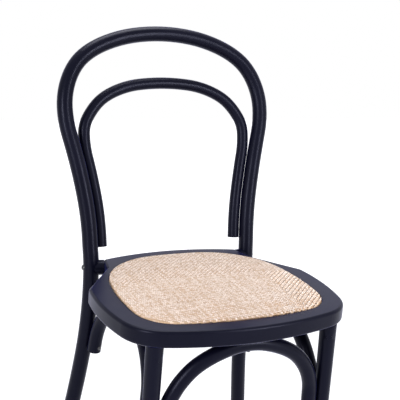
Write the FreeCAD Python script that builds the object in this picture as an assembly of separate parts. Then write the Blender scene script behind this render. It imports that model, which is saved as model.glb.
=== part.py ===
import FreeCAD, Part
import math
import os

V = FreeCAD.Vector
os.makedirs("parts", exist_ok=True)

# Heights, in mm above the floor
seat_top = 455.0
frame_t = 28.0
glide_t = 4.0
frame_under = seat_top - frame_t
bolt_z = seat_top - frame_t / 2

# Clearances
touch = 0.3
fit = 0.1

# Rods
hoop_r = 14.5
inner_r = 11.1
arch_r = 12.5
leg_top_r = 14.4
leg_foot_r = 10.8

# Lean and bow of the back: y behind the rear leg axis for a height v above the start of the back.
# The inner hoop lies a little behind the outer one.
back_v0 = seat_top + 6.0
lean = 0.17
bow = 0.000272
leg_back = 3.5
inner_behind = 10.0

# Plan of the seat frame, y counted from the rear leg axis at bolt height
seat_rear = 24.0
seat_front = -360.0
seat_half_w = 211.0
leg_x = seat_half_w - 50.8
widest_y = -196.0
rear_edge_r = 420.0
front_edge_r = 505.0
notch_x = seat_half_w - 65.0
notch_y = -47.0
corner_x = seat_half_w - 3.8
corner_y = -136.5
front_corner_x = seat_half_w - 23.5
front_corner_r = 79.0
frame_edge_r = 5.0

# The pad and its rebate
pad_rear = seat_rear - 34.8
pad_front = seat_front + 32.0
pad_half_w = seat_half_w - 38.8
pad_widest_y = -205.0
pad_rear_edge_r = 1400.0
pad_side_edge_r = 450.0
pad_front_edge_r = 555.0
pad_rear_corner_r = 127.0
pad_front_corner_r = 69.0
pad_gap = 1.2
rebate = 12.0
ledge = 38.0
cane_t = 1.2
hem_w = 14.0
panel_t = 8.0
pad_edge_h = 4.0
pad_crown_h = 9.0
pad_edge_round = 3.0

# Front legs and arches
front_leg_x = seat_half_w - 54.4
front_leg_y = seat_front + 44.0
leg_spread = 0.008
arch_forward = 12.0
front_side_inset = 5.0
rear_side_inset = 12.0
arch_inward = 14.0
front_arch_end = seat_top - 185.0
side_arch_end = seat_top - 170.0
screw_up = 9.0

# Hardware
bolt_r = 3.0
bolt_head_r = 6.0
barrel_r = 5.0
spacer_r = 14.0
notch_turn = 12.0
stud_r = 4.0
insert_r = 7.0
pin_r = 4.2

# The Y origin is the middle of the whole chair: top of the hoop behind, seat edge in front
hoop_top_v = 403.0
rear_reach = leg_back + lean * hoop_top_v + bow * hoop_top_v ** 2 + hoop_r
leg_y = -(rear_reach + seat_front) / 2


def unit(x, y, z):
    v = V(x, y, z)
    v.normalize()
    return v


def back(x, v, heading, behind=0.0):
    """A point of the back and the way the rod runs there, heading in degrees outward from straight up."""
    h = math.radians(heading)
    slope = lean + 2 * bow * v
    point = V(x, leg_y + leg_back + lean * v + bow * v * v, back_v0 + v)
    return point + unit(0, 1, -slope) * behind, unit(math.sin(h), math.cos(h) * slope, math.cos(h))


def inset(x, v, heading, by):
    h = math.radians(heading)
    return x - by * math.cos(h), v + by * math.sin(h), heading


def arc_of(p0, t0, p1):
    """Centre, axis and angle in degrees of the arc from p0, running along t0 there, to p1."""
    chord = p1 - p0
    axis = t0.cross(chord)
    if axis.Length < 1e-5 * chord.Length:
        return None
    axis.normalize()
    side = axis.cross(t0)
    arc_r = chord.dot(chord) / (2 * chord.dot(side))
    angle = 2 * math.degrees(math.atan2(chord.dot(side), chord.dot(t0)))
    return p0 + side * arc_r, axis, angle


def stretches(nodes):
    """Two arcs that meet smoothly between each two nodes, each as (start, direction, end)."""
    found = []
    for (p0, t0), (p1, t1) in zip(nodes, nodes[1:]):
        gap = p1 - p0
        push = gap.dot(t0 + t1)
        turn = 2 * (1 - t0.dot(t1))
        d = gap.dot(gap) / (push + math.sqrt(push * push + turn * gap.dot(gap)))
        middle = (p0 + p1 + (t0 - t1) * d) * 0.5
        arc = arc_of(p0, t0, middle)
        if arc is None:
            found.append((p0, t0, p1))
            continue
        found.append((p0, t0, middle))
        found.append((middle, FreeCAD.Rotation(arc[1], arc[2]).multVec(t0), p1))
    return found


def walk(nodes, steps=100):
    """Points along the middle of a rod."""
    found = []
    for p0, t0, p1 in stretches(nodes):
        arc = arc_of(p0, t0, p1)
        for i in range(steps + 1):
            if arc is None:
                found.append(p0 + (p1 - p0) * (i / steps))
            else:
                spin = FreeCAD.Rotation(arc[1], arc[2] * i / steps)
                found.append(arc[0] + spin.multVec(p0 - arc[0]))
    return found


def is_flat(face):
    return isinstance(face.Surface, Part.Plane)


def rod(nodes, radius):
    """A round rod along the nodes, each bend turned from the end of the one before."""
    p0, t0 = nodes[0]
    profile = Part.Face(Part.Wire(Part.makeCircle(radius, p0, t0)))
    skin = [profile]
    for p0, t0, p1 in stretches(nodes):
        arc = arc_of(p0, t0, p1)
        piece = profile.extrude(p1 - p0) if arc is None else profile.revolve(*arc)
        skin += [f for f in piece.Faces if not is_flat(f)]
        profile = min([f for f in piece.Faces if is_flat(f)], key=lambda f: (f.CenterOfMass - p1).Length)
    shell = Part.makeShell(skin + [profile])
    shell.sewShape(0.001)
    solid = Part.makeSolid(shell)
    return solid if solid.Volume > 0 else solid.reversed()


def both_ways(nodes):
    """The same path on both sides, from the far left end to the far right end; nodes end at x = 0."""
    left = [(V(-p.x, p.y, p.z), V(-t.x, t.y, t.z)) for p, t in nodes[:-1]]
    right = [(p, t * -1) for p, t in reversed(nodes[:-1])]
    return left + [(nodes[-1][0], V(1, 0, 0))] + right


def one(shape):
    solids = sorted(shape.Solids, key=lambda s: s.Volume)
    return solids[-1]


def mirrored(shape):
    return shape.mirror(V(0, 0, 0), V(1, 0, 0))


def pair(shape):
    return [shape, mirrored(shape)]


def pair_of_points(point):
    return [point, V(-point.x, point.y, point.z)]


def peg(start, direction, length, radius):
    return Part.makeCylinder(radius, length, start, direction)


def round_screw(start, direction, length, r, head_r, head_h, grow=0.0):
    """Round-head screw: shank from start along direction, head behind start."""
    shank = peg(start, direction, length + grow, r + grow)
    cap_r = (head_r ** 2 + head_h ** 2) / (2 * head_h)
    ball = Part.makeSphere(cap_r, start + direction * (cap_r - head_h))
    head = ball.common(peg(start - direction * 2 * head_h, direction, 2 * head_h, 2 * head_r))
    return shank.fuse(head).removeSplitter()


def sunk_screw(start, direction, length, r, head_r, head_h, grow=0.0):
    """Flat-head screw with its head flush at start, growing narrower along direction."""
    cone = Part.makeCone(head_r + grow, r + grow, head_h, start, direction)
    shank = peg(start, direction, length + grow, r + grow)
    return cone.fuse(shank).removeSplitter()


# The outer loop of the back, which also makes both rear legs
hoop_low = (seat_half_w - 49.0, 31.0, 2.2)
hoop_contact = (seat_half_w - 27.9, 172.0, 13.4)


def below(x, y, depth, dx, dy):
    return V(x, y + leg_y, back_v0 - depth), unit(-dx, -dy, 1)


def rear_nodes():
    x, y, depth, dx, dy = seat_half_w - 34.6, 19.5, 280.0, 0.131, 0.129
    more = back_v0 - glide_t + 8 - depth
    foot = below(x + dx * more, y + dy * more, depth + more, dx, dy)
    return [foot, below(x, y, depth, dx, dy), below(seat_half_w - 49.6, -1.8, 100.0, 0.036, 0.044)]


def hoop_nodes():
    at_bolt = (V(leg_x, leg_y, bolt_z), unit(0.003, 0.103, 1))
    points = [(seat_half_w - 9.4, 267.0, 0.0), (seat_half_w - 21.5, 321.3, -25.0)]
    points += [(seat_half_w - 50.2, 358.3, -51.7), (seat_half_w - 95.1, 383.0, -68.8)]
    points.append((0.0, hoop_top_v, -90.0))
    return rear_nodes() + [at_bolt, back(*hoop_low), back(*hoop_contact)] + [back(*p) for p in points]


def beside():
    """How far inside the outer hoop the inner one runs where they touch."""
    return math.sqrt((hoop_r + inner_r + touch) ** 2 - inner_behind ** 2)


def inner_nodes():
    low = back(*inset(*hoop_low, beside()), inner_behind)
    length = (low[0].z - (seat_top + 20.0)) / low[1].z
    end = (low[0] - low[1] * length, low[1])
    points = [inset(*hoop_contact, beside()), (seat_half_w - 46.4, 219.0, 0.0)]
    points += [(seat_half_w - 74.0, 274.5, -45.0), (seat_half_w - 109.8, 297.3, -67.4)]
    points.append((0.0, 313.5, -90.0))
    return [end, low] + [back(*p, inner_behind) for p in points]


# Places of the screws that hold the inner hoop to the outer one
def hoop_screw_places():
    places = []
    for x, v, h in [hoop_low, hoop_contact]:
        centre = back(*inset(x, v, h, beside()), inner_behind)[0]
        way = back(x, v, h)[0] - centre
        way.normalize()
        places.append((centre, way))
    return places


def hoop_screws(grow=0.0):
    found = []
    for centre, way in hoop_screw_places():
        start = centre - way * (inner_r - 7.0)
        found += pair(sunk_screw(start, way, inner_r - 7.0 + inner_r + 14.0, 2.2, 4.0, 2.6, grow))
    return found


def hoop_plugs(grow=0.0):
    found = []
    for centre, way in hoop_screw_places():
        start = centre - way * (inner_r + 1.0 * (grow > 0) - 0.25)
        length = 6.5 + 1.0 * (grow > 0)
        found += pair(peg(start, way, length, 4.2 + grow))
    return found


# The bolts that hold the rear legs, along a line square to the face of the notch
def bolt_line():
    a = math.radians(notch_turn)
    return V(leg_x, leg_y, bolt_z), V(-math.cos(a), -math.sin(a), 0)


def spacer_face():
    """How far the face of the notch stands from the leg's axis."""
    a = math.radians(notch_turn)
    return (leg_x - notch_x) * math.cos(a) - notch_y * math.sin(a)


def rear_bolt(grow=0.0):
    centre, way = bolt_line()
    return round_screw(centre - way * (hoop_r - 1.3), way, 66.0, bolt_r, bolt_head_r, 4.6, grow)


def barrel(grow=0.0):
    centre, way = bolt_line()
    middle = centre + way * (spacer_face() + 27.0)
    low = V(middle.x, middle.y, bolt_z - 8.0)
    length = 16.0
    if grow:
        low = V(middle.x, middle.y, frame_under - 1.0)
        length = bolt_z + 8.0 + grow - low.z
    return peg(low, V(0, 0, 1), length, barrel_r + grow)


def spacer():
    centre, way = bolt_line()
    block = peg(centre + way * 2.0, way, spacer_face() - 2.0, spacer_r)
    leg_room = Part.makeCylinder(hoop_r + touch, 80, centre - unit(0.003, 0.103, 1) * 40, unit(0.003, 0.103, 1))
    return one(block.cut(leg_room).cut(peg(centre, way, 60, bolt_r + fit)))


# Seat frame
def plan_edges(points):
    """Edges through a list of stretches: a pair of points, or three points of an arc, at z = 0."""
    edges = []
    for stretch in points:
        p = [V(x, y + leg_y, 0) for x, y in stretch]
        if len(p) == 2:
            edges.append(Part.makeLine(p[0], p[1]))
        else:
            edges.append(Part.Arc(p[0], p[1], p[2]).toShape())
    return edges


def sag(x, radius):
    return radius - math.sqrt(radius * radius - x * x)


def horn_tip():
    """Where the face of the notch runs out into the rear edge."""
    a = math.radians(notch_turn)
    x = notch_x
    for _ in range(40):
        y = seat_rear - sag(x, rear_edge_r)
        x = notch_x - math.tan(a) * (y - notch_y)
    return x, seat_rear - sag(x, rear_edge_r)


def seat_plan():
    tip = horn_tip()
    rear = (0.0, seat_rear)
    rear_mid = (tip[0] / 2, seat_rear - sag(tip[0] / 2, rear_edge_r))
    front_mid = (front_corner_x / 2, seat_front + sag(front_corner_x / 2, front_edge_r))
    front_end = (front_corner_x, seat_front + sag(front_corner_x, front_edge_r))
    side = (seat_half_w, widest_y)
    right = [
        [rear, rear_mid, tip],
        [tip, (notch_x, notch_y)],
        [(notch_x, notch_y), (corner_x, corner_y)],
        [(corner_x, corner_y), side, front_end],
        [front_end, front_mid, (0.0, seat_front)],
    ]
    left = [[(-x, y) for x, y in reversed(stretch)] for stretch in reversed(right)]
    return right + left


def prism(plan, low, high):
    wire = Part.Wire(Part.__sortEdges__(plan_edges(plan)))
    wire.translate(V(0, 0, low))
    return Part.Face(wire).extrude(V(0, 0, high - low))


def round_upright(body, places):
    """Round upright edges: places are (x, y, radius) in the plan, on both sides."""
    for x, y, radius in places:
        edges = []
        for edge in body.Edges:
            if len(edge.Vertexes) != 2:
                continue
            a, b = edge.Vertexes[0].Point, edge.Vertexes[1].Point
            if math.hypot(a.x - b.x, a.y - b.y) > 0.01:
                continue
            if math.hypot(abs(a.x) - x, a.y - leg_y - y) < 6.0:
                edges.append(edge)
        body = body.makeFillet(radius, edges)
    return body


def flat_edges(body, z):
    found = []
    for edge in body.Edges:
        box = edge.BoundBox
        if abs(box.ZMin - z) < 0.01 and abs(box.ZMax - z) < 0.01:
            found.append(edge)
    return found


def pad_prism(shrink, low, high):
    """The pad's outline, drawn in by shrink, as an upright prism."""
    w = pad_half_w - shrink
    rear_y = pad_rear - shrink
    front_y = pad_front + shrink
    side_r = pad_side_edge_r - shrink
    rear_r = pad_rear_edge_r - shrink
    front_r = pad_front_edge_r - shrink
    side_c = w - side_r
    rear_x, rear_end = corner(side_c, side_r, rear_y - rear_r, rear_r, 1)
    front_x, front_end = corner(side_c, side_r, front_y + front_r, front_r, -1)
    right = [
        [(0.0, rear_y), (rear_x / 2, rear_y - sag(rear_x / 2, rear_r)), (rear_x, rear_end)],
        [(rear_x, rear_end), (w, pad_widest_y), (front_x, front_end)],
        [(front_x, front_end), (front_x / 2, front_y + sag(front_x / 2, front_r)), (0.0, front_y)],
    ]
    left = [[(-x, y) for x, y in reversed(stretch)] for stretch in reversed(right)]
    body = prism(right + left, low, high)
    places = [(rear_x, rear_end, pad_rear_corner_r - shrink), (front_x, front_end, pad_front_corner_r - shrink)]
    return round_upright(body, places)


def corner(side_cx, side_r, end_cy, end_r, way):
    """Where the side arc, centred on (side_cx, pad_widest_y), meets the rear or front arc."""
    x = side_cx + side_r
    for _ in range(40):
        y = end_cy + way * math.sqrt(end_r ** 2 - x ** 2)
        x = side_cx + math.sqrt(side_r ** 2 - (y - pad_widest_y) ** 2)
    return x, end_cy + way * math.sqrt(end_r ** 2 - x ** 2)


def dome(drop):
    """A big ball whose top is the crown of the pad, lowered by drop."""
    half = pad_half_w
    rise = pad_crown_h - pad_edge_h
    ball_r = (half ** 2 + rise ** 2) / (2 * rise)
    middle_y = (pad_rear + pad_front) / 2 + leg_y
    return Part.makeSphere(ball_r - drop, V(0, middle_y, seat_top + pad_crown_h - ball_r))


def pad_shape(shrink, low, edge_round):
    body = one(pad_prism(shrink, low, seat_top + 30.0).common(dome(shrink)))
    lower = [f for f in body.Faces if isinstance(f.Surface, Part.Sphere)][0]
    return one(body.makeFillet(edge_round, lower.Edges))


def cane_cover():
    low = seat_top - rebate
    outer = pad_shape(0.0, low, pad_edge_round)
    inner = pad_shape(cane_t, low + cane_t, pad_edge_round - cane_t)
    shell = outer.cut(inner)
    return one(shell.cut(pad_prism(hem_w, low - 1, low + cane_t + 0.1)))


panel_low = seat_top - rebate + cane_t
foam_low = panel_low + panel_t


def seat_panel():
    return pad_prism(cane_t, panel_low, foam_low)


def seat_foam():
    return pad_shape(cane_t, foam_low, pad_edge_round - cane_t)


def seat_frame():
    body = prism(seat_plan(), frame_under, seat_top)
    front = (front_corner_x, seat_front + sag(front_corner_x, front_edge_r))
    places = [front + (front_corner_r,), (corner_x, corner_y, 14.0), (notch_x, notch_y, 5.0)]
    places.append(horn_tip() + (7.0,))
    body = round_upright(body, places)
    edges = flat_edges(body, seat_top) + flat_edges(body, frame_under)
    body = body.makeFillet(frame_edge_r, edges)
    body = body.cut(pad_prism(-pad_gap, seat_top - rebate, seat_top + 5))
    body = body.cut(pad_prism(ledge, frame_under - 5, seat_top + 5))
    return one(body)


# Front legs: round and tapered, tilted a little outward
def front_leg_axis(z):
    return V(front_leg_x + leg_spread * (frame_under - z), front_leg_y + leg_y, z)


def leg_radius(z):
    return leg_foot_r + (leg_top_r - leg_foot_r) * (z - glide_t) / (frame_under - glide_t)


def front_leg():
    low = front_leg_axis(glide_t - 4)
    high = front_leg_axis(frame_under + 4)
    way = high - low
    body = Part.makeCone(leg_radius(low.z), leg_radius(high.z), way.Length, low, way)
    slab = Part.makeBox(80, 80, frame_under - glide_t, V(low.x - 40, low.y - 40, glide_t))
    return one(body.common(slab))


def stud(grow=0.0):
    base = front_leg_axis(frame_under)
    low = V(base.x, base.y, frame_under - 42.0 - grow)
    return peg(low, V(0, 0, 1), 42.0 + 15.0 + 2 * grow, stud_r + grow)


def insert(grow=0.0):
    base = front_leg_axis(frame_under)
    low = V(base.x, base.y, frame_under + 0.5 - 2.0 * (grow > 0))
    return peg(low, V(0, 0, 1), 17.0 + 2.0 * (grow > 0), insert_r + grow)


def leg_pin(grow=0.0):
    z = frame_under - 21.0
    centre = front_leg_axis(z)
    a = math.radians(20)
    way = V(math.sin(a), math.cos(a), 0)
    surface = centre - way * (leg_radius(z) + 1.0 * (grow > 0) - 0.3)
    return peg(surface, way, 9.0 + 1.0 * (grow > 0), pin_r + grow)


# Arches: one crown under the seat frame and two ends that stand against the legs
arch_bends = [(68.0, 15.3, 24.0), (31.4, 40.0, 46.5), (12.4, 66.0, 62.0)]
arch_run_depth = 109.0
crown_z = frame_under - touch - arch_r


def arch_nodes(crown, flat, end_low, end_high):
    """Nodes after the crown, which runs along flat, to one end: the end runs from end_high down to end_low."""
    reach = end_high - crown
    length = reach.dot(flat)
    drop = (reach - flat * length) * (1 / arch_run_depth)
    nodes = []
    for back_by, down, angle in arch_bends:
        a = math.radians(angle)
        way = flat * math.cos(a) + drop * math.sin(a)
        way.normalize()
        nodes.append((crown + flat * (length - back_by) + drop * down, way))
    down_way = end_low - end_high
    down_way.normalize()
    return nodes + [(end_high, down_way), (end_low, down_way)]


def turned_back(nodes):
    return [(p, t * -1) for p, t in reversed(nodes)]


def front_arch_ends():
    ends = []
    for z in (crown_z - arch_run_depth, front_arch_end):
        axis = front_leg_axis(z)
        ends.append(V(axis.x - leg_radius(z) - touch - arch_r, axis.y, z))
    return ends


def front_crown():
    return V(0, front_leg_y - arch_forward + leg_y, crown_z)


def front_arch():
    high, low = front_arch_ends()
    crown = front_crown()
    half = turned_back(arch_nodes(crown, V(1, 0, 0), low, high)) + [(crown, V(-1, 0, 0))]
    return rod(both_ways(half), arch_r)


def rear_leg_at(z):
    return min(walk(rear_nodes()), key=lambda p: abs(p.z - z))


def side_arch_ends():
    front, rear = [], []
    for z in (crown_z - arch_run_depth, side_arch_end):
        axis = front_leg_axis(z)
        reach = leg_radius(z) + touch + arch_r
        out = math.sqrt(reach ** 2 - front_side_inset ** 2)
        front.append(V(axis.x - front_side_inset, axis.y + out, z))
        axis = rear_leg_at(z)
        reach = hoop_r + touch + arch_r + 0.15
        out = math.sqrt(reach ** 2 - rear_side_inset ** 2)
        rear.append(V(axis.x - rear_side_inset, axis.y - out, z))
    return front, rear


def side_crown():
    front, rear = side_arch_ends()
    return V((front[0].x + rear[0].x) / 2 - arch_inward, (front[0].y + rear[0].y) / 2, crown_z)


def side_arch():
    front, rear = side_arch_ends()
    crown = side_crown()
    flat = unit(rear[0].x - front[0].x, rear[0].y - front[0].y, 0)
    nodes = turned_back(arch_nodes(crown, flat * -1, front[1], front[0])) + [(crown, flat)]
    return rod(nodes + arch_nodes(crown, flat, rear[1], rear[0]), arch_r)


# Screws through the ends of the arches into the legs
def end_screw(place, leg_axis, grow=0.0):
    way = leg_axis - place
    way.z = 0
    way.normalize()
    return round_screw(place - way * arch_r, way, 2 * arch_r + 12.0, 2.2, 4.2, 2.6, grow)


def arch_screws(grow=0.0):
    found = []
    ends = front_arch_ends()
    z = front_arch_end + screw_up
    found += pair(end_screw(along(ends, z), front_leg_axis(z), grow))
    front, rear = side_arch_ends()
    z = side_arch_end + screw_up
    found += pair(end_screw(along(front, z), front_leg_axis(z), grow))
    found += pair(end_screw(along(rear, z), rear_leg_at(z), grow))
    return found


def along(ends, z):
    share = (z - ends[0].z) / (ends[1].z - ends[0].z)
    return ends[0] + (ends[1] - ends[0]) * share


def crown_screws(grow=0.0):
    found = []
    for crown in [front_crown()] + pair_of_points(side_crown()):
        start = V(crown.x, crown.y, crown_z - arch_r)
        found.append(round_screw(start, V(0, 0, 1), 36.0, 2.2, 4.2, 2.6, grow))
    return found


def panel_screws(grow=0.0):
    found = []
    for y in (pad_rear - 25.0, pad_front + 31.0):
        start = V(pad_half_w - 102.2, y + leg_y, frame_under)
        found += pair(sunk_screw(start, V(0, 0, 1), 22.0, 2.0, 4.0, 2.4, grow))
    return found


# Staples under the hem of the cane, their legs in the panel
def staples():
    low = seat_top - rebate
    path = pad_prism(hem_w / 2, low, low + 1)
    face = [f for f in path.Faces if abs(f.CenterOfMass.z - low) < 0.01][0]
    points = face.OuterWire.discretize(Number=41)[:-1]
    found = []
    for i, point in enumerate(points):
        run = points[(i + 1) % len(points)] - points[i - 1]
        turn = math.degrees(math.atan2(run.y, run.x))
        bar = Part.makeBox(10, 1.2, 0.7, V(-5, -0.6, 0))
        leg_a = Part.makeBox(0.8, 1.2, 6.0, V(-5, -0.6, 0))
        leg_b = Part.makeBox(0.8, 1.2, 6.0, V(4.2, -0.6, 0))
        staple = bar.multiFuse([leg_a, leg_b]).removeSplitter()
        staple.rotate(V(0, 0, 0), V(0, 0, 1), turn)
        staple.translate(V(point.x, point.y, low))
        found.append(one(staple))
    return found


# Glides and their nails
def foot_places():
    rear = rear_nodes()
    start, way = rear[0]
    foot = start + way * ((glide_t - start.z) / way.z)
    return [(foot, 11.5), (front_leg_axis(glide_t), 9.5)]


def glides():
    found = []
    for foot, r in foot_places():
        disc = Part.makeCylinder(r, glide_t, V(foot.x, foot.y, 0))
        rim = [e for e in disc.Edges if e.BoundBox.ZMax < 0.01]
        disc = disc.makeFillet(1.0, rim)
        well = Part.makeCylinder(4.0, 1.6, V(foot.x, foot.y, 0))
        found += pair(one(disc.cut(well).cut(nail(foot, fit))))
    return found


def nail(foot, grow=0.0):
    head = Part.makeCylinder(3.0 + grow, 0.8 + grow, V(foot.x, foot.y, 1.6 - grow))
    shank = Part.makeCylinder(1.2 + grow, 20.0 + grow, V(foot.x, foot.y, 1.6))
    return head.fuse(shank).removeSplitter()


def nails(grow=0.0):
    found = []
    for foot, r in foot_places():
        found += pair(nail(foot, grow))
    return found


def drill(body, tools):
    for tool in tools:
        box = tool.BoundBox
        if body.BoundBox.intersect(box):
            body = body.cut(tool)
    return one(body)


def save(name, shapes):
    if not isinstance(shapes, list):
        shapes = [shapes]
    bad = [s for s in shapes if not s.isValid() or s.ShapeType != "Solid"]
    print(name, len(shapes), len(bad), [round(s.Volume) for s in shapes[:2]])
    shape = shapes[0] if len(shapes) == 1 else Part.makeCompound(shapes)
    shape.exportStep("parts/%s.step" % name)


def build():
    spotface = []
    centre, way = bolt_line()
    spotface += pair(peg(centre - way * 40, way, 40 - hoop_r + 1.3, bolt_head_r + 0.3))
    bolt_holes = pair(rear_bolt(fit))
    end_holes = arch_screws(fit)
    hoop_holes = hoop_screws(fit)
    nail_holes = nails(fit)

    hoop = rod(both_ways(hoop_nodes()), hoop_r)
    floor_cut = Part.makeBox(600, 600, 60, V(-300, -300, glide_t - 60))
    hoop = one(hoop.cut(floor_cut))
    hoop = drill(hoop, spotface + bolt_holes + end_holes + hoop_holes + nail_holes)
    save("back_hoop", hoop)

    inner = rod(both_ways(inner_nodes()), inner_r)
    inner = drill(inner, hoop_holes + hoop_plugs(0.05))
    save("inner_hoop", inner)
    save("hoop_screws", [one(s) for s in hoop_screws()])
    save("hoop_plugs", hoop_plugs())

    frame = seat_frame()
    crown_holes = crown_screws(fit)
    panel_holes = panel_screws(fit)
    barrel_holes = pair(barrel(fit))
    insert_holes = pair(insert(fit))
    frame = drill(frame, bolt_holes + crown_holes + panel_holes + barrel_holes + insert_holes)
    save("seat_frame", frame)

    nail_set = staples()
    save("cane_staples", nail_set)
    panel = seat_panel()
    panel = drill(panel, panel_holes + nail_set)
    save("seat_panel", panel)
    save("seat_foam", seat_foam())
    save("cane_cover", drill(cane_cover(), nail_set))

    leg = front_leg()
    pin = leg_pin()
    leg = drill(leg, end_holes + [stud(fit), leg_pin(0.05)] + nail_holes)
    save("front_leg_right", leg)
    save("front_leg_left", mirrored(leg))
    save("front_leg_pins", pair(pin))
    save("front_leg_studs", pair(stud()))
    save("front_leg_inserts", pair(one(insert().cut(stud(fit)))))

    save("leg_spacer_right", spacer())
    save("leg_spacer_left", mirrored(spacer()))
    save("rear_leg_bolts", pair(one(rear_bolt())))
    save("rear_leg_nuts", pair(one(barrel().cut(rear_bolt(fit)))))

    save("front_arch", drill(front_arch(), end_holes + crown_holes))
    arch = drill(side_arch(), end_holes + crown_holes)
    save("side_arch_right", arch)
    save("side_arch_left", mirrored(arch))
    save("arch_end_screws", [one(s) for s in arch_screws()])
    save("arch_crown_screws", [one(s) for s in crown_screws()])
    save("panel_screws", [one(s) for s in panel_screws()])
    save("glides", glides())
    save("glide_nails", [one(s) for s in nails()])


build()
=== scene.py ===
import math

import bpy
import numpy as np
from mathutils import Matrix, Vector


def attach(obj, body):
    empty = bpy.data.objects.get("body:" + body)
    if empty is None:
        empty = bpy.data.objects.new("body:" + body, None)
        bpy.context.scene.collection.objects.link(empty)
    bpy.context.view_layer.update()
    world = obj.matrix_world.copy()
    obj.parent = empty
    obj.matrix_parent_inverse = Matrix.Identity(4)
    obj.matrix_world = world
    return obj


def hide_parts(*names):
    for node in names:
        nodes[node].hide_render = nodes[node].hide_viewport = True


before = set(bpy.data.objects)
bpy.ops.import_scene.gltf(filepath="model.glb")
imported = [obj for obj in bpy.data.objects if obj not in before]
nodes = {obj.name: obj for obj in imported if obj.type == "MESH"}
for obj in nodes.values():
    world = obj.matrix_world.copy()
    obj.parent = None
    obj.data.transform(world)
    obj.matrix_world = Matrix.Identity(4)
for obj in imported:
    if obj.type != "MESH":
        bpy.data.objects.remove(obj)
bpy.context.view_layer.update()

scene = bpy.context.scene

# The seat pad in metres, as in the CAD
SEAT_TOP = 0.455
REBATE = 0.012
CANE = 0.0012
PANEL = 0.008
HEM_WIDTH = 0.014
EDGE_ROUND = 0.003
EDGE_RISE = 0.004
CROWN_RISE = 0.009
HALF_WIDTH = 0.1722
REBATE_FLOOR = SEAT_TOP - REBATE
FOAM_LOW = REBATE_FLOOR + CANE + PANEL

# The body under the strands: how far inside and below the cane it lies, and how its edges are rounded
BODY_INSET = 0.0006
BODY_SINK = 0.0004
BODY_ROUND = 0.0026
BASE_ROUND = 0.0008
RIM_POINTS = 480
RING_POINTS = 240

# The strands: from one to the next, width, rise over or under the middle of the weave, lower edges
PITCH = 0.0024
STRAND = 0.0018
LIFT = 0.00036
EDGE_SINK = 0.00016

# The middle of the weave below the upper face, and how far past the edge of the top a strand runs down
MIDDLE = 0.00062
FOLD = EDGE_ROUND * math.pi / 2 + 0.0022

# The two lines along which the twill turns round
MIRROR_X = 0.112
MIRROR_Y = -0.031
HOME = (MIRROR_X, MIRROR_Y)

# Darkest and palest cane, for the strands side by side along X and for those along Y. Both are the same
# cane: the second pair is darker only as painted shade
CANE_TONES = (((0.60, 0.43, 0.30), (0.93, 0.83, 0.755)), ((0.50, 0.34, 0.225), (0.87, 0.755, 0.66)))


# Node trees
class Tree:
    """A node tree that is built line by line."""

    def __init__(self, tree, place):
        self.tree = tree
        self.tree.nodes.clear()
        self.place = self.add("ShaderNodeTexCoord").outputs[place]

    def add(self, kind):
        return self.tree.nodes.new(kind)

    def link(self, a, b):
        self.tree.links.new(a, b)

    def put(self, socket, value):
        if hasattr(value, "is_linked"):
            self.link(value, socket)
        else:
            socket.default_value = value

    def maths(self, kind, a, b=0.0):
        node = self.add("ShaderNodeMath")
        node.operation = kind
        self.put(node.inputs[0], a)
        self.put(node.inputs[1], b)
        return node.outputs[0]

    def axes(self):
        node = self.add("ShaderNodeSeparateXYZ")
        self.link(self.place, node.inputs[0])
        return node.outputs[0], node.outputs[1], node.outputs[2]

    def between(self, value, low, high, to_low=0.0, to_high=1.0):
        """A smooth step from to_low to to_high while value goes from low to high."""
        node = self.add("ShaderNodeMapRange")
        node.interpolation_type = "SMOOTHSTEP"
        for name, v in (("From Min", low), ("From Max", high), ("To Min", to_low), ("To Max", to_high)):
            node.inputs[name].default_value = v
        self.put(node.inputs["Value"], value)
        return node.outputs[0]

    def seen(self):
        """1 where the camera sees this, also in metal and through glass."""
        path = self.add("ShaderNodeLightPath")
        seen = self.maths("MAXIMUM", path.outputs["Is Camera Ray"], path.outputs["Is Transmission Ray"])
        return self.maths("MAXIMUM", seen, path.outputs["Is Glossy Ray"])


class Shader(Tree):
    """A material with one principled surface."""

    def __init__(self, name):
        self.material = bpy.data.materials.new(name)
        self.material.use_nodes = True
        super().__init__(self.material.node_tree, "Object")
        self.surface = self.add("ShaderNodeBsdfPrincipled")
        self.link(self.surface.outputs[0], self.add("ShaderNodeOutputMaterial").inputs["Surface"])

    def set(self, **values):
        for name, value in values.items():
            self.put(self.surface.inputs[name.replace("_", " ")], value)

    def streaks(self, axis, along, beside):
        """Coordinates scaled by along on one axis and by beside on the others."""
        scales = [beside] * 3
        scales[axis] = along
        node = self.add("ShaderNodeMapping")
        node.inputs["Scale"].default_value = scales
        self.link(self.place, node.inputs["Vector"])
        return node.outputs[0]

    def noise(self, scale, detail=3.0, rough=0.5, at=None, distortion=0.0):
        node = self.add("ShaderNodeTexNoise")
        node.inputs["Scale"].default_value = scale
        node.inputs["Detail"].default_value = detail
        node.inputs["Roughness"].default_value = rough
        node.inputs["Distortion"].default_value = distortion
        self.link(at or self.place, node.inputs["Vector"])
        return node.outputs["Fac"]

    def random(self, x, y, z):
        """One random value for each set of three numbers."""
        point = self.add("ShaderNodeCombineXYZ")
        for socket, value in zip(point.inputs, (x, y, z)):
            self.put(socket, value)
        node = self.add("ShaderNodeTexWhiteNoise")
        node.noise_dimensions = "3D"
        self.link(point.outputs[0], node.inputs["Vector"])
        return node.outputs["Value"]

    def mix(self, share, a, b):
        node = self.add("ShaderNodeMix")
        node.data_type = "RGBA"
        self.put(node.inputs["Factor"], share)
        for socket, value in ((node.inputs[6], a), (node.inputs[7], b)):
            if isinstance(value, tuple):
                socket.default_value = value + (1.0,)
            else:
                self.link(value, socket)
        return node.outputs[2]

    def bump(self, height, depth, strength):
        node = self.add("ShaderNodeBump")
        node.inputs["Distance"].default_value = depth
        node.inputs["Strength"].default_value = strength
        self.link(height, node.inputs["Height"])
        self.link(node.outputs[0], self.surface.inputs["Normal"])


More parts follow.
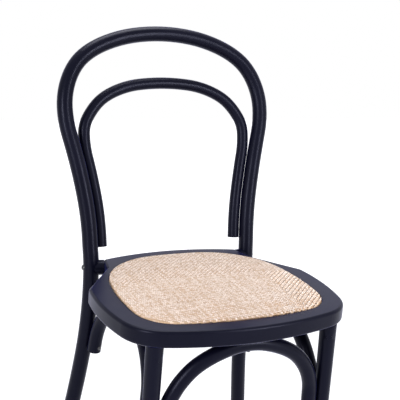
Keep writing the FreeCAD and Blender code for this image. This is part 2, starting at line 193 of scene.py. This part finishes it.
# Wood, metal and plastic
def lacquer(name, grain_axis):
    """Black satin lacquer on beech: the grain shows only as faint lines along the rod."""
    s = Shader(name)
    pores = s.noise(1.0, 4.0, 0.6, s.streaks(grain_axis, 16.0, 260.0))
    patches = s.noise(9.0, 3.0, 0.5)
    orange_peel = s.noise(420.0, 2.0, 0.5)
    base = s.mix(s.between(patches, 0.3, 0.7), (0.0016, 0.0017, 0.0054), (0.0026, 0.0027, 0.0076))
    scuffs = s.maths("MULTIPLY", s.between(s.noise(55.0, 4.0, 0.7), 0.66, 0.78), 0.5)
    _, _, z = s.axes()
    near_floor = s.between(z, 0.004, 0.045, 1.0, 0.0)
    base = s.mix(s.maths("MULTIPLY", scuffs, near_floor), base, (0.055, 0.050, 0.048))
    s.set(Base_Color=base, IOR=1.5, Specular_IOR_Level=0.11, Specular_Tint=(0.72, 0.74, 1.0, 1.0))
    s.set(Sheen_Weight=0.17, Sheen_Roughness=0.32, Sheen_Tint=(0.20, 0.22, 1.0, 1.0))
    s.set(Roughness=s.between(patches, 0.3, 0.75, 0.30, 0.37))
    height = s.maths("ADD", s.maths("MULTIPLY", pores, 0.7), s.maths("MULTIPLY", orange_peel, 0.3))
    s.bump(height, 0.00001, 0.06)
    return s.material


def plywood_look():
    """Birch plywood, seen from below and inside the ring."""
    s = Shader("plywood")
    grain = s.noise(1.0, 5.0, 0.62, s.streaks(1, 7.0, 150.0), 0.6)
    rays = s.noise(1.0, 2.0, 0.5, s.streaks(1, 60.0, 600.0))
    colour = s.mix(s.between(grain, 0.3, 0.72), (0.50, 0.335, 0.19), (0.71, 0.54, 0.36))
    colour = s.mix(s.maths("MULTIPLY", s.between(rays, 0.6, 0.72), 0.35), colour, (0.36, 0.22, 0.12))
    _, _, z = s.axes()
    layers = s.maths("SINE", s.maths("MULTIPLY", z, 2 * math.pi / 0.0032))
    s.set(Base_Color=s.mix(s.between(layers, 0.2, 0.8, 0.0, 0.22), colour, (0.34, 0.22, 0.13)))
    s.set(Roughness=s.between(grain, 0.3, 0.7, 0.55, 0.72))
    s.bump(grain, 0.0002, 0.4)
    return s.material


def metal_look(name, colour, rough, painted=False):
    s = Shader(name)
    turned = s.noise(900.0, 3.0, 0.6)
    worn = s.noise(160.0, 4.0, 0.65)
    darker = tuple(c * 0.72 for c in colour)
    tone = s.mix(s.between(worn, 0.35, 0.7), darker, colour)
    if painted:
        tone = s.mix(s.between(worn, 0.70, 0.76), tone, (0.10, 0.10, 0.105))
        s.set(Metallic=0.0, IOR=1.5, Coat_Weight=0.2)
    else:
        s.set(Metallic=1.0)
    s.set(Base_Color=tone, Roughness=s.between(turned, 0.3, 0.7, rough - 0.06, rough + 0.08))
    s.bump(turned, 0.00005, 0.5)
    return s.material


def plastic_look():
    s = Shader("glide_plastic")
    grain = s.noise(1500.0, 2.0, 0.5)
    scratched = s.noise(1.0, 4.0, 0.7, s.streaks(1, 700.0, 90.0))
    tone = s.mix(s.between(scratched, 0.62, 0.72), (0.022, 0.022, 0.024), (0.07, 0.07, 0.072))
    s.set(Base_Color=tone, Roughness=s.between(grain, 0.3, 0.7, 0.5, 0.62))
    s.bump(grain, 0.00008, 0.5)
    return s.material


def dress(names, material):
    for name in names:
        mesh = nodes[name].data
        mesh.materials.clear()
        mesh.materials.append(material)
        for face in mesh.polygons:
            face.material_index = 0


upright = lacquer("black_lacquer_upright", 2)
crosswise = lacquer("black_lacquer_crosswise", 0)
fore_aft = lacquer("black_lacquer_fore_aft", 1)
black_steel = metal_look("black_steel", (0.030, 0.030, 0.034), 0.34, painted=True)
zinc = metal_look("zinc_steel", (0.62, 0.63, 0.65), 0.30)
brass = metal_look("brass", (0.78, 0.58, 0.27), 0.32)
dress(["back_hoop", "inner_hoop", "hoop_plugs"], upright)
dress(["front_leg_right", "front_leg_left", "front_leg_pins"], upright)
dress(["seat_frame", "front_arch"], crosswise)
dress(["side_arch_right", "side_arch_left", "leg_spacer_right", "leg_spacer_left"], fore_aft)
dress(["seat_panel"], plywood_look())
dress(["rear_leg_bolts", "arch_end_screws", "arch_crown_screws"], black_steel)
dress(["hoop_screws", "cane_staples", "panel_screws", "glide_nails"], zinc)
dress(["front_leg_studs", "rear_leg_nuts"], zinc)
dress(["front_leg_inserts"], brass)
dress(["glides"], plastic_look())


# Rattan
def strand_look(name, across):
    """Split rattan: pale and tan lengths, lines along each strand, flecks, painted shade where it dives and
    painted shade where it runs down the edge.
    """
    s = Shader(name)
    x, y, z = s.axes()
    off_x = s.maths("SUBTRACT", x, MIRROR_X)
    off_y = s.maths("SUBTRACT", y, MIRROR_Y)
    steps_x = s.maths("ABSOLUTE", s.maths("DIVIDE", off_x, PITCH))
    steps_y = s.maths("ABSOLUTE", s.maths("DIVIDE", off_y, PITCH))
    steps = s.maths("SUBTRACT", s.maths("ADD", steps_x, steps_y), 0.5 + 2.0 * across)
    strand = s.maths("FLOOR", s.maths("ADD", s.maths("DIVIDE", (x, y)[across], PITCH), 0.5))
    stitch = s.maths("FLOOR", s.maths("DIVIDE", s.maths("ADD", steps, 2.0), 4.0))
    half = s.maths("SIGN", (off_y, off_x)[across])

    by_strand = s.random(strand, 3.0 + across, 1.0)
    by_strand_too = s.random(strand, 9.0 + across, 5.0)
    by_stitch = s.random(strand, stitch, s.maths("ADD", half, 20.0 + across))
    lines = s.noise(1.0, 3.0, 0.6, s.streaks(across, 2600.0, 140.0))
    blotch = s.noise(1.0, 3.0, 0.55, s.streaks(across, 1.0 / PITCH, 28.0))
    dash = s.noise(1.0, 1.0, 0.5, s.streaks(across, 1.0 / PITCH, 168.0))
    grey = s.noise(230.0, 1.0, 0.5)

    tone = s.maths("ADD", s.maths("MULTIPLY", by_strand, 0.38), s.maths("MULTIPLY", blotch, 0.54))
    tone = s.maths("ADD", tone, s.maths("MULTIPLY", by_stitch, 0.30))
    # The strands side by side along Y take the darker pair, which is painted shade on the same cane
    deep, light = CANE_TONES[across]
    colour = s.mix(s.between(tone, 0.26, 0.68), deep, light)
    tan = s.maths("ADD", blotch, s.maths("MULTIPLY", by_strand_too, 0.25))
    colour = s.mix(s.between(tan, 0.62, 0.84), colour, (0.60, 0.385, 0.23))
    brown = s.maths("MULTIPLY", s.between(by_stitch, 0.84, 0.90), 0.75)
    colour = s.mix(brown, colour, (0.50, 0.305, 0.175))
    colour = s.mix(s.between(dash, 0.64, 0.70), colour, (0.40, 0.245, 0.145))
    colour = s.mix(s.maths("MULTIPLY", s.between(grey, 0.735, 0.77), 0.55), colour, (0.30, 0.27, 0.27))
    # Painted shade: darker towards each end of a float, where the strand dives under its neighbours
    painted_dive_shade = s.between(s.maths("COSINE", s.maths("MULTIPLY", steps, math.pi / 2)), 0.80, -0.15)
    colour = s.mix(s.maths("MULTIPLY", painted_dive_shade, 0.85), colour, (0.30, 0.18, 0.10))
    # Painted shade: darker and warmer where the strand runs down the edge of the pad into the rebate
    low = s.between(z, SEAT_TOP + 0.0005, SEAT_TOP + 0.0035, 1.0, 0.0)
    colour = s.mix(s.maths("MULTIPLY", low, 0.5), colour, (0.66, 0.43, 0.24))
    colour = s.mix(s.between(lines, 0.35, 0.7, 0.0, 0.16), colour, (0.50, 0.36, 0.25))

    s.set(Base_Color=colour, IOR=1.45, Roughness=s.between(lines, 0.3, 0.7, 0.48, 0.66))
    s.set(Sheen_Weight=0.08, Sheen_Roughness=0.5)
    s.bump(lines, 0.00008, 0.6)
    return s.material


def backing_look():
    """What shows between the strands: the same cane in shade."""
    s = Shader("cane_backing")
    x, y, _ = s.axes()
    rows = s.maths("SINE", s.maths("MULTIPLY", x, 2 * math.pi / PITCH))
    files = s.maths("SINE", s.maths("MULTIPLY", y, 2 * math.pi / PITCH))
    weave = s.maths("MULTIPLY", rows, files)
    mottled = s.noise(90.0, 4.0, 0.6)
    colour = s.mix(s.between(mottled, 0.35, 0.65), (0.26, 0.16, 0.09), (0.38, 0.25, 0.15))
    s.set(Base_Color=s.mix(s.between(weave, -0.6, 0.6), colour, (0.46, 0.32, 0.20)), Roughness=0.75)
    s.bump(weave, 0.0003, 0.6)
    return s.material


def hem_look():
    """The woven cane on the edge and underneath, where no separate strands lie."""
    s = Shader("cane_hem")
    x, y, _ = s.axes()
    rows = s.maths("SINE", s.maths("MULTIPLY", s.maths("ADD", x, y), 2 * math.pi / (PITCH * 2.8)))
    files = s.maths("SINE", s.maths("MULTIPLY", s.maths("SUBTRACT", x, y), 2 * math.pi / (PITCH * 1.4)))
    weave = s.maths("ADD", s.maths("MULTIPLY", rows, 0.6), s.maths("MULTIPLY", files, 0.4))
    mottled = s.noise(120.0, 4.0, 0.6)
    colour = s.mix(s.between(mottled, 0.35, 0.68), (0.58, 0.40, 0.26), (0.80, 0.66, 0.53))
    s.set(Base_Color=s.mix(s.between(weave, 0.1, -0.7), colour, (0.38, 0.25, 0.15)), Roughness=0.65)
    s.bump(weave, 0.0004, 0.8)
    return s.material


# Outline of the pad
def hull(points):
    """Convex outline of flat points, anticlockwise."""
    points = sorted({(round(float(x), 6), round(float(y), 6)) for x, y in points})
    turns = []
    for way in (points, points[::-1]):
        chain = []
        for p in way:
            while len(chain) > 1:
                (ax, ay), (bx, by) = chain[-2], chain[-1]
                if (bx - ax) * (p[1] - ay) - (by - ay) * (p[0] - ax) > 1e-12:
                    break
                chain.pop()
            chain.append(p)
        turns.append(chain[:-1])
    return np.array(turns[0] + turns[1])


def even(outline, count):
    """The same closed outline with evenly spaced points."""
    closed = np.vstack([outline, outline[:1]])
    steps = np.linalg.norm(np.diff(closed, axis=0), axis=1)
    reach = np.concatenate([[0.0], np.cumsum(steps)])
    at = np.linspace(0.0, reach[-1], count, endpoint=False)
    return np.stack([np.interp(at, reach, closed[:, i]) for i in (0, 1)], 1)


def drawn_in(outline, by):
    """The outline moved inwards, each point square to its neighbours."""
    along = np.roll(outline, -1, 0) - np.roll(outline, 1, 0)
    out = np.stack([along[:, 1], -along[:, 0]], 1)
    return outline - out / np.linalg.norm(out, axis=1)[:, None] * by


def ring_at(inset):
    return even(drawn_in(rim, inset), RING_POINTS)


def crown(x, y):
    """Height of the upper face of the cover, a shallow piece of a ball."""
    far = x ** 2 + (y - centre[1]) ** 2
    return SEAT_TOP + CROWN_RISE - (ball - np.sqrt(ball ** 2 - far))


def to_edge(points, edge):
    """Distance outside a closed outline (inside is negative), the nearest place on it and the way out."""
    run = np.roll(edge, -1, 0) - edge
    size = (run ** 2).sum(1)
    out = np.stack([run[:, 1], -run[:, 0]], 1) / np.sqrt(size)[:, None]
    distance = np.empty(len(points))
    foot = np.empty((len(points), 2))
    way = np.empty((len(points), 2))
    batch = 2000
    for start in range(0, len(points), batch):
        some = slice(start, start + batch)
        p = points[some]
        share = np.clip(((p[:, None] - edge[None]) * run[None]).sum(2) / size[None], 0.0, 1.0)
        q = edge[None] + share[..., None] * run[None]
        gap = p[:, None] - q
        d = np.sqrt((gap ** 2).sum(2))
        rows = np.arange(len(p))
        k = d.argmin(1)
        sign = np.sign((gap[rows, k] * out[k]).sum(1))
        distance[some] = d[rows, k] * np.where(sign == 0, 1, sign)
        foot[some] = q[rows, k]
        way[some] = out[k]
    return distance, foot, way


cover = nodes["cane_cover"].data
flat = np.empty(len(cover.vertices) * 3)
cover.vertices.foreach_get("co", flat)
rim = even(hull(flat.reshape(-1, 3)[:, :2]), RIM_POINTS)
centre = np.array([0.0, (rim[:, 1].min() + rim[:, 1].max()) / 2])
ball = (HALF_WIDTH ** 2 + (CROWN_RISE - EDGE_RISE) ** 2) / (2 * (CROWN_RISE - EDGE_RISE))
fold_line = drawn_in(rim, EDGE_ROUND)


# Meshes
def new_piece(name, verts, faces, material, smooth=True):
    mesh = bpy.data.meshes.new(name)
    mesh.from_pydata([tuple(v) for v in verts], [], [tuple(f) for f in faces])
    mesh.validate()
    mesh.materials.append(material)
    if smooth:
        mesh.polygons.foreach_set("use_smooth", [True] * len(mesh.polygons))
    piece = bpy.data.objects.new(name, mesh)
    scene.collection.objects.link(piece)
    return piece


def pad_body():
    """Closed form of the foam under the cane: rings from the middle of the top to the middle of the base."""
    shell = ring_at(CANE + BODY_INSET)
    n = len(shell)

    def roof(ring):
        return crown(ring[:, 0], ring[:, 1]) - CANE - BODY_SINK

    rings = []
    for share in (0.12, 0.25, 0.38, 0.5, 0.62, 0.73, 0.83, 0.91, 0.96):
        ring = centre + (shell - centre) * share
        rings.append(np.column_stack([ring, roof(ring)]))
    for angle in (0, 30, 60, 90):
        turn = math.radians(angle)
        ring = drawn_in(shell, BODY_ROUND * (1 - math.sin(turn)))
        rings.append(np.column_stack([ring, roof(ring) - BODY_ROUND * (1 - math.cos(turn))]))
    rings.append(np.column_stack([shell, np.full(n, FOAM_LOW + BASE_ROUND)]))
    for share in (0.99, 0.8, 0.5, 0.25):
        ring = centre + (shell - centre) * share
        rings.append(np.column_stack([ring, np.full(n, FOAM_LOW)]))

    verts = [(centre[0], centre[1], roof(centre[None])[0])]
    verts += [tuple(p) for ring in rings for p in ring]
    verts.append((centre[0], centre[1], FOAM_LOW))
    faces = [(0, 1 + i, 1 + (i + 1) % n) for i in range(n)]
    for r in range(len(rings) - 1):
        a = 1 + r * n
        b = a + n
        faces += [(a + i, b + i, b + (i + 1) % n, a + (i + 1) % n) for i in range(n)]
    last = 1 + (len(rings) - 1) * n
    faces += [(last + i, len(verts) - 1, last + (i + 1) % n) for i in range(n)]
    return verts, faces


def pressed(piece, force=4.0, frames=20):
    """A short cloth run with pressure inside the piece."""
    cloth = piece.modifiers.new("pressure", "CLOTH")
    cloth.settings.use_pressure = True
    cloth.settings.uniform_pressure_force = force
    cloth.settings.effector_weights.gravity = 0.0
    cloth.settings.quality = 5
    cloth.point_cache.frame_start = 1
    cloth.point_cache.frame_end = frames
    for number in range(1, frames + 1):
        scene.frame_set(number)
    bpy.ops.object.modifier_apply(modifier="pressure")
    scene.frame_set(1)


def swell(piece):
    """Foam pressing on its cover, with its movement kept small and below the strands."""
    sideways = 0.0003
    sink, rise = 0.0002, 0.0007
    flat_part, clear = 0.004, 0.0001
    remesh = piece.modifiers.new("even_mesh", "REMESH")
    remesh.mode = "VOXEL"
    remesh.voxel_size = 0.004
    bpy.context.view_layer.objects.active = piece
    piece.select_set(True)
    bpy.ops.object.modifier_apply(modifier="even_mesh")
    start = np.array([v.co for v in piece.data.vertices])
    pressed(piece)
    step = np.array([v.co for v in piece.data.vertices]) - start
    step[:, :2] = np.clip(step[:, :2], -sideways, sideways)
    step[:, 2] = np.clip(step[:, 2], -sink, rise)
    done = start + step
    inside = to_edge(done[:, :2], rim)[0] < -flat_part
    roof = crown(done[:, 0], done[:, 1]) - CANE - clear
    done[:, 2] = np.where(inside, np.minimum(done[:, 2], roof), done[:, 2])
    done[:, 2] = np.maximum(done[:, 2], FOAM_LOW)
    for vertex, place in zip(piece.data.vertices, done):
        vertex.co = place
    finer = piece.modifiers.new("finer", "SUBSURF")
    finer.levels = finer.render_levels = 1
    bpy.ops.object.modifier_apply(modifier="finer")
    piece.data.polygons.foreach_set("use_smooth", [True] * len(piece.data.polygons))
    piece.select_set(False)


# The woven strands
def places(axis, spare=0.002):
    """Numbers of the strands along one axis, counted from the line where the twill turns."""
    first = math.floor((rim[:, axis].min() - spare - HOME[axis]) / PITCH)
    last = math.ceil((rim[:, axis].max() + spare - HOME[axis]) / PITCH)
    return np.arange(first, last + 1)


def flat_strand(number, across, steps, rng):
    """Points of one strand in the flat weave, over two and under two, and the lift of each point."""
    uneven, aside, wander = 0.00004, 0.00006, 0.000008
    points = np.empty((len(steps), 2))
    points[:, across] = HOME[across] + number * PITCH
    points[:, 1 - across] = HOME[1 - across] + steps * PITCH
    wave = (np.abs(number) + np.abs(steps)) % 4
    over = (wave < 2) if across == 0 else (wave >= 2)
    lift = np.where(over, LIFT, -LIFT) + rng.normal(0.0, uneven, len(steps))
    points[:, across] += rng.normal(0.0, aside) + np.cumsum(rng.normal(0.0, wander, len(steps)))
    return points, lift


def kept(points, across):
    """Which points lie on the pad. The strands along X don't turn down at its front."""
    past_edge = 0.0004
    front_y = centre[1] - 0.10
    d = to_edge(points, fold_line)[0]
    keep = d < FOLD
    if across == 1:
        keep &= ~((d > past_edge) & (points[:, 1] < front_y))
    return keep


def laid(points, lift):
    """Points of the flat weave laid over the pad and folded down its edge, raised by lift."""
    d, foot, way = to_edge(points, fold_line)
    over = d > 0
    base = np.where(over[:, None], foot, points)
    turn = np.where(over, np.minimum(d / EDGE_ROUND, math.pi / 2), 0.0)
    radius = EDGE_ROUND - MIDDLE
    flat_part = base + way * (radius * np.sin(turn) * over)[:, None]
    drop = radius * (1 - np.cos(turn)) + np.where(over, np.maximum(0.0, d - EDGE_ROUND * math.pi / 2), 0.0)
    height = crown(base[:, 0], base[:, 1]) - MIDDLE - drop
    facing = np.column_stack([way * np.sin(turn)[:, None], np.cos(turn)])
    return np.column_stack([flat_part, height]) + facing * lift[:, None], facing


def weave(name, across, material, rng):
    """All strands that run one way. across is 0 for strands set side by side along X, 1 along Y."""
    verts = []
    faces = []
    for number in places(across):
        points, lift = flat_strand(number, across, places(1 - across), rng)
        keep = kept(points, across)
        if keep.sum() < 4:
            continue
        first, last = np.where(keep)[0][[0, -1]]
        spine, facing = laid(points[first:last + 1], lift[first:last + 1])
        side = np.cross(facing, np.gradient(spine, axis=0))
        side /= np.linalg.norm(side, axis=1)[:, None]
        half = STRAND / 2 * (1 + rng.normal(0.0, 0.03))
        start = len(verts)
        for s, drop in ((-1, EDGE_SINK), (0, 0.0), (1, EDGE_SINK)):
            verts += [tuple(v) for v in spine + side * s * half - facing * drop]
        n = len(spine)
        for a in (start, start + n):
            b = a + n
            faces += [(a + k, b + k, b + k + 1, a + k + 1) for k in range(n - 1)]
    return new_piece(name, verts, faces, material)


def hem(material):
    """The edge of the cane turned round the panel: a low wall and a flat strip below."""
    corner = 0.0004
    below_foam = 0.0002
    outer = even(rim, RING_POINTS)
    inner_wall = ring_at(CANE)
    inner_hem = ring_at(HEM_WIDTH)
    top = FOAM_LOW - below_foam
    floor = REBATE_FLOOR
    loops = [(outer, top), (outer, floor + corner), (ring_at(corner), floor), (inner_hem, floor)]
    loops += [(inner_hem, floor + CANE), (inner_wall, floor + CANE), (inner_wall, top)]
    n = RING_POINTS
    verts = [(x, y, z) for loop, z in loops for x, y in loop]
    faces = []
    for r in range(len(loops)):
        a = r * n
        b = ((r + 1) % len(loops)) * n
        faces += [(a + i, a + (i + 1) % n, b + (i + 1) % n, b + i) for i in range(n)]
    return new_piece("cane_hem", verts, faces, material, smooth=False)


pad = new_piece("seat_pad", *pad_body(), backing_look())
swell(pad)
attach(pad, "root")
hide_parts("cane_cover", "seat_foam")

rng = np.random.default_rng(7)
warp = weave("cane_warp", 0, strand_look("rattan_warp", 0), rng)
weft = weave("cane_weft", 1, strand_look("rattan_weft", 1), rng)
cane_hem = hem(hem_look())
for piece in (warp, weft, cane_hem):
    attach(piece, "root")
    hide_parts("cane_cover")


# Floor, light and camera
def stage_floor():
    """A pale floor that takes shadows and turns white away from the chair where the camera sees it."""
    half = 4.0
    near, white_from = 0.7, 2.2
    glow_near = 0.60
    below_feet = 0.0002
    mesh = bpy.data.meshes.new("floor")
    corners = [(-half, -half, 0), (half, -half, 0), (half, half, 0), (-half, half, 0)]
    mesh.from_pydata(corners, [], [(0, 1, 2, 3)])
    floor = bpy.data.objects.new("floor", mesh)
    scene.collection.objects.link(floor)
    s = Shader("pale_floor")
    x, y, _ = s.axes()
    far = s.maths("SQRT", s.maths("ADD", s.maths("MULTIPLY", x, x), s.maths("MULTIPLY", y, y)))
    glow = s.maths("MULTIPLY", s.seen(), s.between(far, near, white_from, glow_near, 1.0))
    s.set(Base_Color=(0.50, 0.50, 0.50, 1.0), Roughness=0.9)
    s.set(Emission_Color=(1.0, 1.0, 1.0, 1.0), Emission_Strength=glow)
    mesh.materials.append(s.material)
    floor.location = (0.0, 0.0, -below_feet)


def world_light():
    """A pale studio, brightest low down on the right, and white where the camera sees it."""
    world = bpy.data.worlds.new("studio")
    scene.world = world
    world.use_nodes = True
    t = Tree(world.node_tree, "Generated")
    sky = t.add("ShaderNodeBackground")
    white = t.add("ShaderNodeBackground")
    mix = t.add("ShaderNodeMixShader")
    x, y, z = t.axes()
    low_down = t.between(z, 0.30, 0.42, 1.0, 0.42)
    right = t.maths("MULTIPLY", t.between(x, 0.22, 0.50, 0.42, 1.35), low_down)
    front = t.between(y, -0.10, 0.35, 0.75, 0.0)
    t.put(sky.inputs["Strength"], t.maths("MAXIMUM", right, front))
    t.put(sky.inputs["Color"], (0.86, 0.88, 1.0, 1.0))
    t.put(white.inputs["Color"], (1.0, 1.0, 1.0, 1.0))
    t.link(t.seen(), mix.inputs[0])
    t.link(sky.outputs[0], mix.inputs[1])
    t.link(white.outputs[0], mix.inputs[2])
    t.link(mix.outputs[0], t.add("ShaderNodeOutputWorld").inputs["Surface"])


def soft_light(name, place, aim, size, watts):
    lamp = bpy.data.lights.new(name, "AREA")
    lamp.shape = "RECTANGLE"
    lamp.size, lamp.size_y = size
    lamp.energy = watts
    lamp_object = bpy.data.objects.new(name, lamp)
    lamp_object.location = place
    lamp_object.rotation_euler = (Vector(aim) - Vector(place)).to_track_quat("-Z", "Y").to_euler()
    scene.collection.objects.link(lamp_object)


def photo_camera():
    """Camera solved from the photograph: place in mm, turn in radians, focal length and shift in pixels."""
    place = Vector((-634.8, -1337.3, 983.7))
    yaw, pitch, roll = -0.45154, 0.20453, 0.07293
    focal, shift_x, shift_y = 864.46, 11.745, -45.746
    photo_width, sensor = 400.0, 36.0
    back = Vector((math.sin(yaw) * math.cos(pitch), -math.cos(yaw) * math.cos(pitch), math.sin(pitch)))
    level = Vector((math.cos(yaw), math.sin(yaw), 0.0))
    up = back.cross(level)
    right = level * math.cos(roll) + up * math.sin(roll)
    upward = up * math.cos(roll) - level * math.sin(roll)
    camera = bpy.data.cameras.new("camera")
    camera.sensor_width = sensor
    camera.sensor_fit = "HORIZONTAL"
    camera.lens = focal * sensor / photo_width
    camera.shift_x = -shift_x / photo_width
    camera.shift_y = shift_y / photo_width
    camera.clip_end = 50.0
    camera_object = bpy.data.objects.new("camera", camera)
    scene.collection.objects.link(camera_object)
    turn = Matrix((right, upward, back)).transposed().to_4x4()
    camera_object.matrix_world = Matrix.Translation(place / 1000.0) @ turn
    scene.camera = camera_object


stage_floor()
world_light()
soft_light("top_light", (0.1, 0.6, 2.3), (0.0, 0.0, 0.45), (1.2, 0.9), 30.0)
soft_light("left_light", (-1.95, -1.15, 1.15), (0.0, 0.0, 0.55), (0.24, 1.3), 38.0)
soft_light("right_light", (1.05, -1.95, 1.15), (0.0, 0.0, 0.55), (0.24, 1.3), 38.0)
photo_camera()
scene.view_settings.view_transform = "Standard"

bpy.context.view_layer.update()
